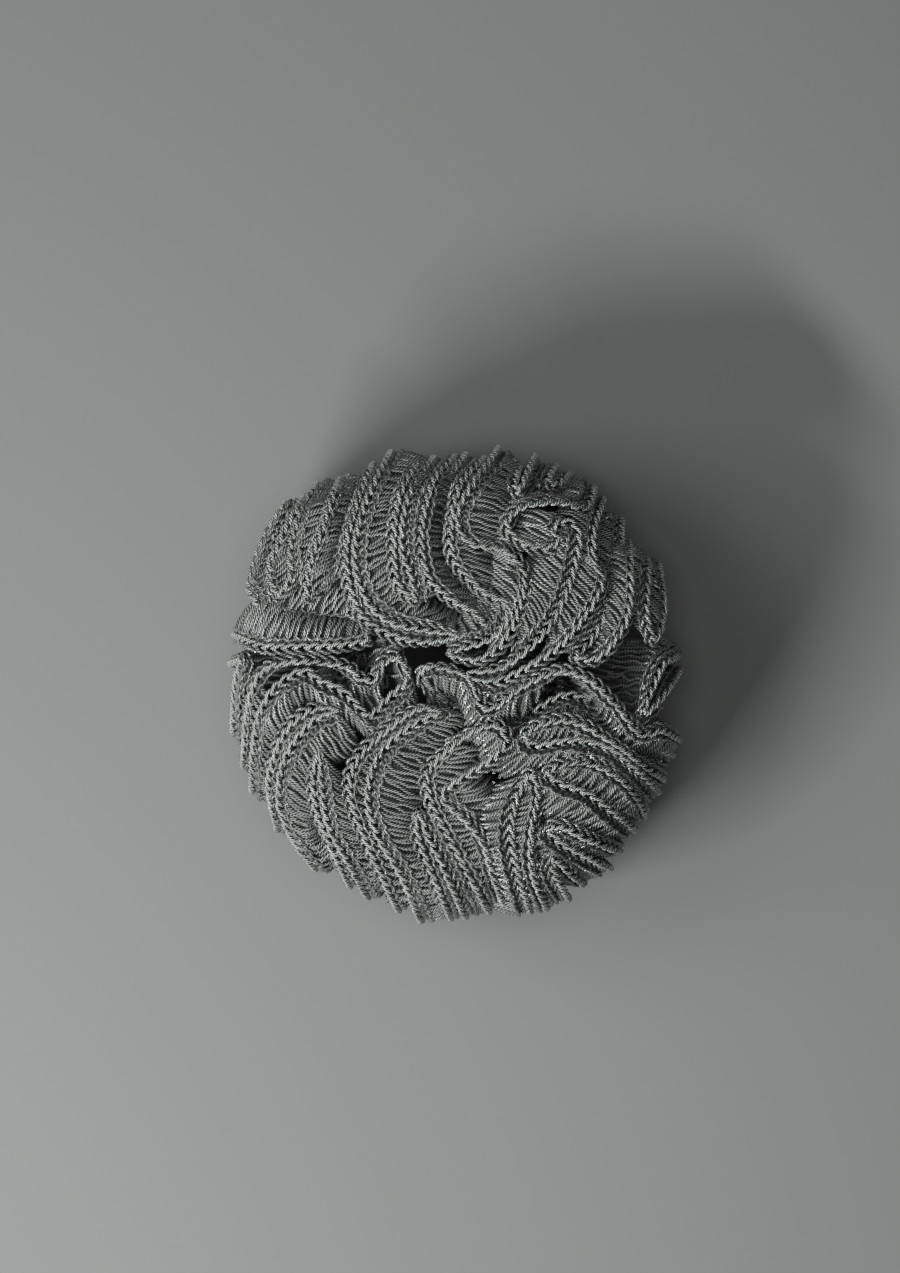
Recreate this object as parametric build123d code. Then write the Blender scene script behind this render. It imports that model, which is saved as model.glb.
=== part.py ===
from build123d import *
from collections import namedtuple
from math import atan2, ceil, cos, dist, hypot, pi, radians, sin, sqrt
import os

# Sizes in millimetres
# The ring lies flat: the hair elastic runs inside a crocheted sleeve, and the frill stands all round it.
frill_radius = 54.0          # from the middle of the ring to the outer edge of the frill
frill_height = 50.0          # from the surface it lies on to its top
ring_radius = 27.0           # to the middle of the hair elastic
elastic_thickness = 5.0
elastic_clearance = 0.3      # between the elastic and its sleeve
sleeve_wall = 4.2            # the foundation round, with the crowded feet of the stitches
frill_clearance = 0.5        # between the sleeve and the foot of the frill
edge_thickness = 2.3         # the chain that edges the frill
fabric_thickness = 1.7       # the frill half way down
fold_flop = radians(13)      # how far round the ring a fold leans over, at most

# Shares of the sizes above
hole_place = (-.105, .108)   # (across, up) share of the frill radius where the hair goes through
side_fullness = 8            # how square the side of the frill is, as a power
top_fullness = 2.2           # how flat its top and underside are, as a power
lean_start = radians(12)     # bearing, doubled, by which the creases between the leanings are turned
lean_growth = .6             # how early a fold leans over on its way down, as a power
rim_run = .12                # share of the radius, in from the rim, over which a leg sinks to its full depth
sunk_run = .25               # share of a leg over which it sinks on its way out from its inner end
sunk_end = .25               # share of its sinking that is left at the inner end of the fold
middle_depth = .42           # share of the depth at which the middle row of a fold lies
side_part = .4               # share of a fold's hidden way that its side takes
side_slope = radians(62)     # how far round the side, from level, before it runs in under the frill
settled_share = .5           # share of the radius where the legs underneath are evenly spaced

# Steps of the faceted wall
straight_step = 9.0          # longest step along a straight fold
bend_step = .8               # largest turn in one step, in radians
way_steps = 10               # places between two hand-chosen ones
side_steps = 24              # places from the rim to the turn under the frill
turn_steps = 8               # places in the half circle of that turn
closeness = .4               # share of the way to the next fold that a wall may fill
other_fold = 1.45            # a place is another fold's if the way to it along the wall is this many times
other_fold_slack = .4        # the straight one, and this many millimetres more
bend_closeness = .6          # share of the radius of a bend that half the wall may fill
least_half = .12             # least half thickness of a wall

# Folds of the frill, clockwise from the left lip, as the top shows them.
# A fold runs in from the rim, round its inner end and out to the rim again, through (across, up) places in
# shares of the frill radius. sunk_in and sunk_out are the shares of the depth by which its two legs lie
# lower than the top, and under is the share of the radius where it turns back on the underside.
Fold = namedtuple("Fold", "name way_in inner_end way_out sunk_in sunk_out under")
FOLDS = (
    Fold("left_lip", ((-.96, .20), (-.83, .155), (-.66, .155), (-.50, .16)), (-.37, .19),
         ((-.47, .25), (-.66, .275), (-.81, .30), (-.895, .40), (-.875, .52), (-.81, .665), (-.73, .785)),
         0, .22, .30),
    Fold("upper_b", ((-.665, .80), (-.755, .64), (-.81, .48)), (-.765, .375),
         ((-.70, .46), (-.70, .58), (-.66, .74), (-.59, .87)), 0, 0, .52),
    Fold("upper_c", ((-.515, .875), (-.58, .68), (-.635, .52)), (-.65, .375),
         ((-.57, .45), (-.545, .60), (-.50, .77), (-.455, .90)), 0, .14, .28),
    Fold("upper_d", ((-.37, .945), (-.435, .78), (-.485, .56), (-.43, .31), (-.27, .20), (-.11, .179)),
         (.02, .213), ((-.11, .243), (-.27, .275), (-.375, .365), (-.425, .54), (-.385, .76), (-.27, 1.0)),
         0, 0, .50),
    Fold("upper_e", ((-.165, .97), (-.255, .81), (-.28, .58), (-.255, .42)), (-.17, .355),
         ((-.185, .47), (-.225, .60), (-.19, .82), (-.085, .975)), 0, 0, .29),
    Fold("upper_f", ((-.015, .985), (-.11, .87), (-.16, .66), (-.13, .46), (-.02, .355), (.07, .305)),
         (.13, .25), ((.15, .315), (.03, .395), (-.075, .475), (-.095, .66), (-.07, .84), (.05, .985)),
         0, .16, .54),
    Fold("upper_g", ((.115, .98), (.01, .87), (-.03, .70), (-.02, .54), (.10, .40), (.215, .33), (.16, .215)),
         (-.035, .14),
         ((.10, .10), (.235, .215), (.305, .45), (.22, .58), (.06, .62), (.02, .75), (.19, 1.01)), 0, 0, .27),
    Fold("top_a", ((.265, .95), (.24, .86)), (.265, .815), ((.30, .87), (.345, .975)), 0, 0, .51),
    Fold("top_b", ((.42, .945), (.385, .885)), (.42, .845), ((.47, .87), (.50, .90)), 0, 0, .30),
    Fold("swirl", ((.585, .86), (.55, .77), (.43, .79), (.28, .77), (.205, .69), (.27, .605), (.39, .575),
                   (.455, .62), (.425, .66), (.47, .695), (.515, .64), (.495, .50), (.44, .34), (.345, .20),
                   (.20, .085)),
         (.045, .045),
         ((.17, .005), (.34, .085), (.48, .185), (.595, .34), (.635, .44), (.60, .54), (.60, .66),
          (.64, .79)), 0, 0, .53),
    Fold("right_a", ((.705, .72), (.71, .59), (.70, .44), (.655, .31), (.585, .20)), (.505, .118),
         ((.61, .105), (.715, .22), (.757, .37), (.748, .60)), .12, 0, .28),
    Fold("right_b", ((.82, .55), (.812, .42), (.81, .28)), (.848, .18),
         ((.893, .27), (.892, .40), (.878, .505)), 0, 0, .50),
    Fold("right_corner", ((.965, .14), (.885, .095), (.83, -.02)), (.80, -.135),
         ((.865, -.085), (.925, -.01), (.965, .05)), 0, 0, .30),
    Fold("collar", ((.965, -.23), (.88, -.185), (.79, -.20), (.69, -.08), (.57, .03), (.43, .065),
                    (.27, -.01), (.17, -.06), (.11, -.08), (.055, -.01)),
         (-.12, .035), ((-.05, -.05), (.045, -.12), (.17, -.11), (.33, -.095), (.50, -.055), (.66, -.13),
                        (.79, -.255), (.93, -.315)), 0, .30, .53),
    Fold("lower_a", ((.90, -.40), (.80, -.335), (.67, -.24), (.50, -.148), (.35, -.165)), (.287, -.228),
         ((.35, -.27), (.50, -.247), (.66, -.282), (.785, -.39), (.865, -.475)), 0, 0, .29),
    Fold("lower_b", ((.82, -.56), (.785, -.485), (.70, -.39), (.57, -.328), (.44, -.34)), (.385, -.385),
         ((.45, -.435), (.56, -.475), (.66, -.55), (.765, -.64)), 0, 0, .51),
    Fold("lower_c", ((.715, -.715), (.57, -.655), (.45, -.60)), (.39, -.625),
         ((.45, -.69), (.56, -.75), (.655, -.80)), 0, 0, .28),
    Fold("lower_d", ((.56, -.855), (.49, -.80), (.455, -.76)), (.41, -.745), ((.41, -.81), (.475, -.93)),
         0, 0, .52),
    Fold("lower_e", ((.40, -.965), (.335, -.80), (.33, -.64), (.36, -.47)), (.32, -.375),
         ((.25, -.48), (.225, -.64), (.255, -.82), (.31, -.985)), 0, 0, .30),
    Fold("lower_f", ((.23, -.975), (.165, -.81), (.12, -.67), (.03, -.56), (-.05, -.48), (.03, -.41),
                     (.15, -.335), (.225, -.25)),
         (.185, -.17), ((.09, -.185), (-.03, -.265), (-.13, -.37), (-.12, -.50), (-.02, -.70), (.13, -.985)),
         0, 0, .53),
    Fold("lower_g", ((.05, -1.0), (-.05, -.77), (-.11, -.65)), (-.16, -.545),
         ((-.18, -.63), (-.14, -.75), (-.035, -1.01)), 0, 0, .28),
    Fold("lower_h", ((-.14, -1.02), (-.235, -.80), (-.335, -.63), (-.37, -.46), (-.31, -.29), (-.17, -.175)),
         (-.06, -.125),
         ((-.17, -.10), (-.30, -.185), (-.43, -.31), (-.47, -.44), (-.425, -.61), (-.26, -.975)), 0, 0, .51),
    Fold("lower_i", ((-.37, -.92), (-.46, -.75), (-.54, -.60), (-.567, -.43)), (-.588, -.29),
         ((-.627, -.40), (-.61, -.54), (-.555, -.68), (-.47, -.865)), 0, 0, .30),
    Fold("lower_j", ((-.595, -.80), (-.70, -.655), (-.752, -.49), (-.72, -.31), (-.61, -.165)), (-.50, -.11),
         ((-.61, -.095), (-.73, -.18), (-.79, -.30), (-.815, -.44), (-.78, -.62)), 0, 0, .53),
    Fold("eyelets", ((-.87, -.47), (-.865, -.30), (-.83, -.12), (-.75, 0), (-.65, .05), (-.59, .01),
                     (-.49, -.035), (-.425, -.105)),
         (-.37, -.145), ((-.29, -.05), (-.205, .05), (-.235, .125), (-.30, .105), (-.345, .035), (-.41, .04),
                         (-.46, .085), (-.60, .105), (-.75, .102), (-.865, .05), (-.915, -.11), (-.925, -.34)),
         0, .08, .28),
    Fold("left_low", ((-.955, -.22), (-.95, -.04)), (-.92, .105), ((-.97, .10),), 0, 0, .50),
)

# The frill is one strip in the real thing. Here it is cut across at the rim into stretches, so that each is
# simple enough to stay open about the hair's way when it collides. Each runs on from its first fold.
STRETCHES = (
    ("ruffle_upper_left", "upper_b"),
    ("ruffle_over_the_hole", "upper_d"),
    ("ruffle_top_left", "upper_f"),
    ("ruffle_top", "top_a"),
    ("ruffle_swirl", "swirl"),
    ("ruffle_right", "right_b"),
    ("ruffle_collar", "collar"),
    ("ruffle_lower_right", "lower_b"),
    ("ruffle_bottom_right", "lower_d"),
    ("ruffle_bottom", "lower_f"),
    ("ruffle_bottom_left", "lower_h"),
    ("ruffle_lower_left", "lower_j"),
    ("ruffle_left", "left_low"),
)

# Sizes that follow from those above
sleeve_bore = elastic_thickness / 2 + elastic_clearance
sleeve_radius = sleeve_bore + sleeve_wall
foot_radius = sleeve_radius + frill_clearance
side_end = cos(side_slope) ** (2 / side_fullness)
ring_share = ring_radius / frill_radius
ring_middle = tuple((1 - ring_share) * place * frill_radius for place in hole_place)


# A place on the frill is given by its bearing round the hole, its share of the radius and its height.
# Circles of equal share move from the hole's own place to the middle of the frill as they grow.
def bearing_and_share(across, up):
    from_hole = (across - hole_place[0], up - hole_place[1])
    along = from_hole[0] * hole_place[0] + from_hole[1] * hole_place[1]
    spread = 1 - hypot(*hole_place) ** 2
    share = (along + sqrt(along ** 2 + spread * hypot(*from_hole) ** 2)) / spread
    bearing = atan2(from_hole[1] + share * hole_place[1], from_hole[0] + share * hole_place[0])
    return bearing, share


# A smooth way through hand-chosen places, with a few more places between each two
def smooth_way(places):
    first = [2 * a - b for a, b in zip(places[0], places[1])]
    last = [2 * a - b for a, b in zip(places[-1], places[-2])]
    padded = [first, *places, last]
    way = []
    for before, start, end, after in zip(padded, padded[1:], padded[2:], padded[3:]):
        for step in range(way_steps):
            t = step / way_steps
            way.append([((2 * b) + (c - a) * t + (2 * a - 5 * b + 4 * c - d) * t ** 2
                         + (3 * b - a - 3 * c + d) * t ** 3) / 2
                        for a, b, c, d in zip(before, start, end, after)])
    way.append(list(places[-1]))
    return way


def nearest_turn(bearing, other):
    return bearing + 2 * pi * round((other - bearing) / (2 * pi))


# The rim of each fold's two legs, as (bearing, share), falling all the way round
def rim_places():
    rims = []
    for fold in FOLDS:
        for place in (fold.way_in[0], fold.way_out[-1]):
            bearing, share = bearing_and_share(*place)
            if rims:
                bearing = nearest_turn(bearing, rims[-1][0])
            rims.append((bearing, share))
    return rims


RIMS = rim_places()


def rim_share(bearing):
    bearing = RIMS[0][0] - (RIMS[0][0] - bearing) % (2 * pi)
    around = RIMS + [(RIMS[0][0] - 2 * pi, RIMS[0][1])]
    for (start, start_share), (end, end_share) in zip(around, around[1:]):
        if end <= bearing <= start:
            part = (start - bearing) / max(start - end, 1e-9)
            return start_share + part * (end_share - start_share)
    return RIMS[0][1]


# Height of the frill's top above the ring, at a share of the way out to the rim
def top_height(outward):
    return frill_height / 2 * (1 - min(outward, 1) ** side_fullness) ** (1 / top_fullness)


# The crest of the frill, as one closed way of (bearing, share, height, sunk)
def top_way(fold):
    places = smooth_way([*fold.way_in, fold.inner_end, *fold.way_out])
    middle = len(fold.way_in) * way_steps
    way = []
    for index, place in enumerate(places):
        bearing, share = bearing_and_share(*place)
        if way:
            bearing = nearest_turn(bearing, way[-1][0])
        if index < middle:
            leg_sunk, leg_part = fold.sunk_in, index / middle
        else:
            leg_sunk, leg_part = fold.sunk_out, (len(places) - 1 - index) / (len(places) - 1 - middle)
        outward = share / rim_share(bearing)
        sunk = leg_sunk * min(1, max(0, 1 - outward) / rim_run, (1 - leg_part) / sunk_run + sunk_end)
        way.append((bearing, share, top_height(outward), sunk))
    return way


# How far the bearings of the rims lie, on average, from evenly spaced ones
def even_offset():
    evens = [-2 * pi * leg / len(RIMS) for leg in range(len(RIMS))]
    return sum(bearing - even for (bearing, _), even in zip(RIMS, evens)) / len(RIMS)


EVEN_START = even_offset()


# From the rim of one leg down the side, under the frill, round and back up to the rim of the next leg.
# The legs spread evenly as they run in, and the turn is a half circle.
def under_way(leg, under):
    spacing = 2 * pi / len(RIMS)
    first_even = EVEN_START - spacing * leg
    legs = []
    for number in (0, 1):
        rim = RIMS[(leg + number) % len(RIMS)][0]
        even = first_even - spacing * number
        rim = nearest_turn(rim, even)
        way = []
        for step in range(1, side_steps + 1):
            part = step / side_steps
            if part <= side_part:
                outward = cos(side_slope * part / side_part) ** (2 / side_fullness)
                moved = part
            else:
                outward = side_end + (under - side_end) * (part - side_part) / (1 - side_part)
                moved = side_part + (1 - side_part) * (side_end - outward) / (side_end - settled_share)
            moved = min(1, moved)
            bearing = rim + (even - rim) * moved * moved * (3 - 2 * moved)
            way.append((bearing, outward * rim_share(bearing), -top_height(outward), 0))
        legs.append(way)
    reach = legs[0][-1][1]
    bend = []
    for step in range(1, turn_steps):
        angle = pi * step / turn_steps
        bearing = first_even - spacing / 2 * (1 - cos(angle))
        share = reach * (1 - spacing / 2 * sin(angle))
        bend.append((bearing, share, -top_height(share / rim_share(bearing)), 0))
    return legs[0] + bend + legs[1][::-1]


# The whole crest once round, and where in it each fold starts
def crest_way():
    way, starts = [], []
    for number, fold in enumerate(FOLDS):
        starts.append(len(way))
        for part in (top_way(fold), under_way(2 * number + 1, fold.under)):
            shift = nearest_turn(part[0][0], way[-1][0]) - part[0][0] if way else 0
            way += [(bearing + shift, share, height, sunk) for bearing, share, height, sunk in part]
    return way, starts


# A fold leans over towards the next one on top: away from the creases at the left and right, into the
# valleys at the top and bottom. Down the side it stands straight.
def lean(bearing, height):
    return fold_flop * sin(2 * bearing + lean_start) * max(0, height) / (frill_height / 2)


# A place on the wall of the frill under its crest, at a share of the depth down to the sleeve
def wall_place(crest, depth):
    bearing, share, height, sunk = crest
    depth = sunk + (1 - sunk) * depth
    slope = atan2(height, share * frill_radius - ring_radius)
    foot = (ring_radius + foot_radius * cos(slope), foot_radius * sin(slope))
    outward = share * frill_radius * (1 - depth) + foot[0] * depth
    rise = height * (1 - depth) + foot[1] * depth
    turned = bearing + lean(bearing, height) * depth ** lean_growth
    middle = [(1 - share) * place * frill_radius * (1 - depth) + centre * depth
              for place, centre in zip(hole_place, ring_middle)]
    return Vector(middle[0] + outward * cos(turned), middle[1] + outward * sin(turned), rise)


# Stations along the crest, with long steps where a fold runs straight and short ones round its bends, and
# the first station of each fold
def stations():
    dense, starts = crest_way()
    places = [wall_place(crest, 0) for crest in dense]
    count = len(dense)
    reached = [0]
    for index in range(count):
        before, here, after = (places[(index + shift) % count] for shift in (-1, 0, 1))
        run = (after - here).length
        turn = 0
        if run > 0 and (here - before).length > 0:
            turn = radians((here - before).get_angle(after - here))
        reached.append(reached[-1] + run / straight_step + turn / bend_step)
    total = ceil(reached[-1])
    whole = dense + [(dense[0][0] - 2 * pi, *dense[0][1:])]
    found, origins, index = [], [], 0
    for station in range(total):
        wanted = reached[-1] * station / total
        while reached[index + 1] < wanted:
            index += 1
        part = (wanted - reached[index]) / (reached[index + 1] - reached[index])
        found.append([a + (b - a) * part for a, b in zip(whole[index], whole[index + 1])])
        origins.append(index)
    return found, [next(station for station in range(total) if origins[station] >= start) for start in starts]


# Half the thickness of the wall at each station of a row: thinner where another fold crowds it, and in a
# tight bend. The gap to another fold is measured square to the wall, which runs down to the row below.
def half_thicknesses(row, below, thickness):
    count = len(row)
    runs = [0]
    for here, after in zip(row, row[1:] + row[:1]):
        runs.append(runs[-1] + dist(here, after))
    near = thickness / 2 / closeness
    halves = []
    for index, here in enumerate(row):
        before, after = row[index - 1], row[(index + 1) % count]
        down = [(b - a) / dist(here, below[index]) for a, b in zip(here, below[index])]
        half = min(thickness / 2, bend_closeness * bend_radius(before, here, after))
        for other, (begin, end) in enumerate(zip(row, row[1:] + row[:1])):
            reach = 2 * near + runs[other + 1] - runs[other]
            if abs(begin[0] - here[0]) > reach or abs(begin[1] - here[1]) > reach:
                continue
            offset, part = way_to_step(here, begin, end)
            along = abs(runs[other] + part * (runs[other + 1] - runs[other]) - runs[index])
            along = min(along, runs[-1] - along)
            if along > other_fold * hypot(*offset) + other_fold_slack:
                sunk = sum(a * b for a, b in zip(offset, down))
                half = min(half, closeness * dist(offset, [sunk * part for part in down]))
        halves.append(max(half, least_half))
    return halves


def way_to_step(here, begin, end):
    step = [b - a for a, b in zip(begin, end)]
    part = sum((c - a) * s for a, c, s in zip(begin, here, step)) / max(sum(s * s for s in step), 1e-9)
    part = min(1, max(0, part))
    return [a + part * s - c for a, s, c in zip(begin, step, here)], part


# Radius of the circle through three places
def bend_radius(before, here, after):
    sides = (dist(before, here), dist(here, after), dist(before, after))
    half = sum(sides) / 2
    area = sqrt(max(half * (half - sides[0]) * (half - sides[1]) * (half - sides[2]), 1e-12))
    return sides[0] * sides[1] * sides[2] / (4 * area)


# The frill's wall, as the places of its section at each station. Its crest row has a left and a right place,
# so has its middle row part of the way down, and it thins to a single line at the sleeve. Crests are pressed
# level at top and bottom.
def wall_sections(crests):
    count = len(crests)
    rows = [[tuple(wall_place(crest, depth)) for crest in crests] for depth in (0, middle_depth, 1)]
    foot = [Vector(*place) for place in rows[2]]
    level = frill_height / 2
    sides = []
    for row, below, thickness in zip(rows, rows[1:], (edge_thickness, fabric_thickness)):
        halves = half_thicknesses(row, below, thickness)
        lefts, rights = [], []
        for index in range(count):
            here = Vector(*row[index])
            along = Vector(*row[(index + 1) % count]) - Vector(*row[index - 1])
            across = along.cross(foot[index] - Vector(*rows[0][index])).normalized() * halves[index]
            for places, place in ((lefts, here + across), (rights, here - across)):
                places.append(Vector(place.X, place.Y, max(-level, min(level, place.Z))))
        sides.append((lefts, rights))
    return list(zip(sides[0][0], sides[0][1], sides[1][1], foot, sides[1][0]))


# A stretch of that wall, closed by a flat cut at each end
def stretch(sections):
    triangles = []
    for section, after in zip(sections, sections[1:]):
        for corner in range(len(section)):
            beside = (corner + 1) % len(section)
            triangles.append((section[corner], after[corner], after[beside]))
            triangles.append((section[corner], after[beside], section[beside]))
    for left, right, lower_right, lowest, lower_left in (sections[0], sections[-1]):
        triangles.append((left, right, lower_right))
        triangles.append((left, lower_right, lower_left))
        triangles.append((lower_left, lower_right, lowest))
    return Solid(Shell([Face(Wire.make_polygon(corners, close=True)) for corners in triangles]))


def frill_stretches():
    crests, firsts = stations()
    sections = wall_sections(crests)
    names = [fold.name for fold in FOLDS]
    cuts = [firsts[names.index(first)] for _, first in STRETCHES]
    solids = []
    for number, (name, _) in enumerate(STRETCHES):
        begin = cuts[number]
        end = cuts[(number + 1) % len(cuts)]
        run = sections[begin:end + 1] if begin < end else sections[begin:] + sections[:end + 1]
        solids.append((name, stretch(run)))
    return solids


def foundation_round():
    return Pos(*ring_middle, 0) * (Torus(ring_radius, sleeve_radius) - Torus(ring_radius, sleeve_bore))


def hair_elastic():
    return Pos(*ring_middle, 0) * Torus(ring_radius, elastic_thickness / 2)


os.makedirs("parts", exist_ok=True)
pieces = [("hair_elastic", hair_elastic()), ("foundation_round", foundation_round()), *frill_stretches()]
whole = Compound([solid for _, solid in pieces]).bounding_box()
placed = Pos(-whole.center().X, -whole.center().Y, -whole.min.Z)
for name, solid in pieces:
    export_step(placed * solid, f"parts/{name}.step", write_pcurves=False)
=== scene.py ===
import bpy
import numpy as np
from collections import namedtuple
from math import cos, hypot, pi, radians
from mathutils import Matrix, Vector


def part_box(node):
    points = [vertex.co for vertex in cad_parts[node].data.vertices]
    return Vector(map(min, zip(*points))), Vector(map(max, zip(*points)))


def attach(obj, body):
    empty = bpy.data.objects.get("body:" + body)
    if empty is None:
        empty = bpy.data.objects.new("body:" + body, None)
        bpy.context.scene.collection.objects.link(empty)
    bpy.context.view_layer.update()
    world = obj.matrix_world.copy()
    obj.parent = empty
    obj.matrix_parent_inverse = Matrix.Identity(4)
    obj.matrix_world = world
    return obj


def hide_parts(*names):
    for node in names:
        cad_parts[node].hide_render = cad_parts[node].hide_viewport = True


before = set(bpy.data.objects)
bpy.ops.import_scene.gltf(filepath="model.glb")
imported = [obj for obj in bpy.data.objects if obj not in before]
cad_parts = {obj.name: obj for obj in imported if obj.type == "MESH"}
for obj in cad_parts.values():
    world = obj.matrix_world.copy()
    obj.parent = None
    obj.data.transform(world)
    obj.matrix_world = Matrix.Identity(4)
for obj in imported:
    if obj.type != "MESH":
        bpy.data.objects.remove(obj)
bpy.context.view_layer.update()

# Hair elastic
# A round elastic of rubber in a braided black cover, closed in by the crochet. It stays the built ring and
# only gets its braid.
braid_colour = (.012, .012, .013, 1)
braid_scale = 1400
braid_relief = .0003
braid_strength = .6


# A finish made of nodes, with short ways to add what its shader needs
class Finish:
    def __init__(self, name):
        self.material = bpy.data.materials.new(name)
        self.material.use_nodes = True
        self.nodes = self.material.node_tree.nodes
        self.links = self.material.node_tree.links
        self.shader = self.nodes["Principled BSDF"]

    def math(self, operation, first, second=None):
        node = self.nodes.new("ShaderNodeMath")
        node.operation = operation
        for socket, value in zip(node.inputs, (first, second)):
            if value is None:
                continue
            if isinstance(value, (int, float)):
                socket.default_value = value
            else:
                self.links.new(value, socket)
        return node.outputs[0]

    def stored(self, name, output="Fac"):
        node = self.nodes.new("ShaderNodeAttribute")
        node.attribute_name = name
        return node.outputs[output]

    def pattern(self, kind, output, **values):
        node = self.nodes.new(kind)
        for name, value in values.items():
            node.inputs[name].default_value = value
        place = self.nodes.new("ShaderNodeTexCoord")
        self.links.new(place.outputs["Object"], node.inputs["Vector"])
        return node.outputs[output]

    def noise(self, scale, detail):
        return self.pattern("ShaderNodeTexNoise", "Fac", Scale=scale, Detail=detail)

    def tone(self, colour, light):
        node = self.nodes.new("ShaderNodeVectorMath")
        node.operation = "SCALE"
        node.inputs[0].default_value = colour
        self.links.new(light, node.inputs["Scale"])
        self.links.new(node.outputs[0], self.shader.inputs["Base Color"])

    def bump(self, height, distance, strength=.9):
        node = self.nodes.new("ShaderNodeBump")
        node.inputs["Strength"].default_value = strength
        node.inputs["Distance"].default_value = distance
        self.links.new(height, node.inputs["Height"])
        self.links.new(node.outputs["Normal"], self.shader.inputs["Normal"])

    def surface(self, **values):
        for name, value in values.items():
            self.shader.inputs[name.replace("_", " ")].default_value = value


braid = Finish("black_braid")
braid_threads = braid.pattern("ShaderNodeTexVoronoi", "Distance", Scale=braid_scale)
braid.bump(braid_threads, braid_relief, braid_strength)
braid.surface(Base_Color=braid_colour, Roughness=.7)
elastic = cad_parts["hair_elastic"]
elastic.data.materials.clear()
elastic.data.materials.append(braid.material)


# Yarn
# Grey mercerised cotton of three plies, tightly twisted. The specks of light on its ridges are a painted
# highlight in its colour, and its grooves are painted shade. Every crocheted piece is laid in this one yarn
# along its own way, and keeps where on the yarn each place is.
yarn_tone = (.092, .102, .095)
yarn_plies = 3
yarn_turn = .0024
yarn_relief = .00028

# How light the yarn is: a painted highlight on its ridges over painted shade in its grooves, times a factor
# each for patches, the yarn's lot with its painted light, and its fuzz. A factor is the even share and its
# own share of what varies.
ridge_sharpness = 3
ridge_painted_highlight = 4
groove_painted_shade = .08
patch_scale = 90
patch_share = .5
lot_and_painted_light_share = .6
fuzz_scale = 3200
fuzz_share = .5
fuzz_height = .4
even_share = .72


def yarn_material():
    yarn = Finish("grey_yarn")
    math = yarn.math
    around = yarn.nodes.new("ShaderNodeSeparateXYZ")
    yarn.links.new(yarn.stored("round_yarn", "Vector"), around.inputs[0])
    angle = math("ARCTAN2", around.outputs["Y"], around.outputs["X"])
    along = math("MULTIPLY", yarn.stored("along_yarn"), 2 * pi * yarn_plies / yarn_turn)
    twist = math("SINE", math("ADD", math("MULTIPLY", angle, yarn_plies), along))
    fuzz = yarn.noise(fuzz_scale, 2)
    patches = yarn.noise(patch_scale, 3)
    lot_and_painted_light = yarn.stored("yarn_lot_and_painted_light")
    # Painted highlight on the ply ridges and painted shade in the grooves, put into the base colour
    ridge = math("POWER", math("ADD", math("MULTIPLY", twist, .5), .5), ridge_sharpness)
    light = math("ADD", math("MULTIPLY", ridge, ridge_painted_highlight), groove_painted_shade)
    for varied, share in ((patches, patch_share), (lot_and_painted_light, lot_and_painted_light_share), (fuzz, fuzz_share)):
        light = math("MULTIPLY", light, math("ADD", math("MULTIPLY", varied, share), even_share))
    yarn.tone(yarn_tone, light)
    yarn.bump(math("ADD", twist, math("MULTIPLY", fuzz, fuzz_height)), yarn_relief)
    yarn.surface(Roughness=.3, Specular_IOR_Level=.7, Coat_Weight=1, Coat_Roughness=.06)
    return yarn.material


grey_yarn = yarn_material()


# Draws a round yarn along every way, and stores how far along it and where round it each place is
def yarn_tree():
    tree = bpy.data.node_groups.new("laid_yarn", "GeometryNodeTree")
    for name, kind in (("Yarn ways", "Geometry"), ("Yarn radius", "Float"), ("Sides", "Int"),
                       ("Finish", "Material")):
        tree.interface.new_socket(name, in_out="INPUT", socket_type="NodeSocket" + kind)
    tree.interface.new_socket("Yarn", in_out="OUTPUT", socket_type="NodeSocketGeometry")
    nodes = tree.nodes
    links = tree.links
    start = nodes.new("NodeGroupInput")
    end = nodes.new("NodeGroupOutput")

    def store(geometry, name, kind, value):
        node = nodes.new("GeometryNodeStoreNamedAttribute")
        node.data_type = kind
        node.domain = "POINT"
        node.inputs["Name"].default_value = name
        links.new(geometry, node.inputs["Geometry"])
        links.new(value, node.inputs["Value"])
        return node.outputs["Geometry"]

    ways = nodes.new("GeometryNodeMeshToCurve")
    links.new(start.outputs["Yarn ways"], ways.inputs["Mesh"])
    way = nodes.new("GeometryNodeSplineParameter")
    placed_ways = store(ways.outputs["Curve"], "along_yarn", "FLOAT", way.outputs["Length"])
    section = nodes.new("GeometryNodeCurvePrimitiveCircle")
    section.inputs["Radius"].default_value = 1
    links.new(start.outputs["Sides"], section.inputs["Resolution"])
    place = nodes.new("GeometryNodeInputPosition")
    placed_section = store(section.outputs["Curve"], "round_yarn", "FLOAT_VECTOR", place.outputs["Position"])
    tube = nodes.new("GeometryNodeCurveToMesh")
    tube.inputs["Fill Caps"].default_value = True
    links.new(placed_ways, tube.inputs["Curve"])
    links.new(placed_section, tube.inputs["Profile Curve"])
    links.new(start.outputs["Yarn radius"], tube.inputs["Scale"])
    smooth = nodes.new("GeometryNodeSetShadeSmooth")
    links.new(tube.outputs["Mesh"], smooth.inputs["Geometry"])
    real = nodes.new("GeometryNodeRealizeInstances")
    links.new(smooth.outputs["Geometry"], real.inputs["Geometry"])
    finish = nodes.new("GeometryNodeSetMaterial")
    links.new(real.outputs["Geometry"], finish.inputs["Geometry"])
    links.new(start.outputs["Finish"], finish.inputs["Material"])
    links.new(finish.outputs["Geometry"], end.inputs["Yarn"])
    return tree


laid_yarn = yarn_tree()
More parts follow.
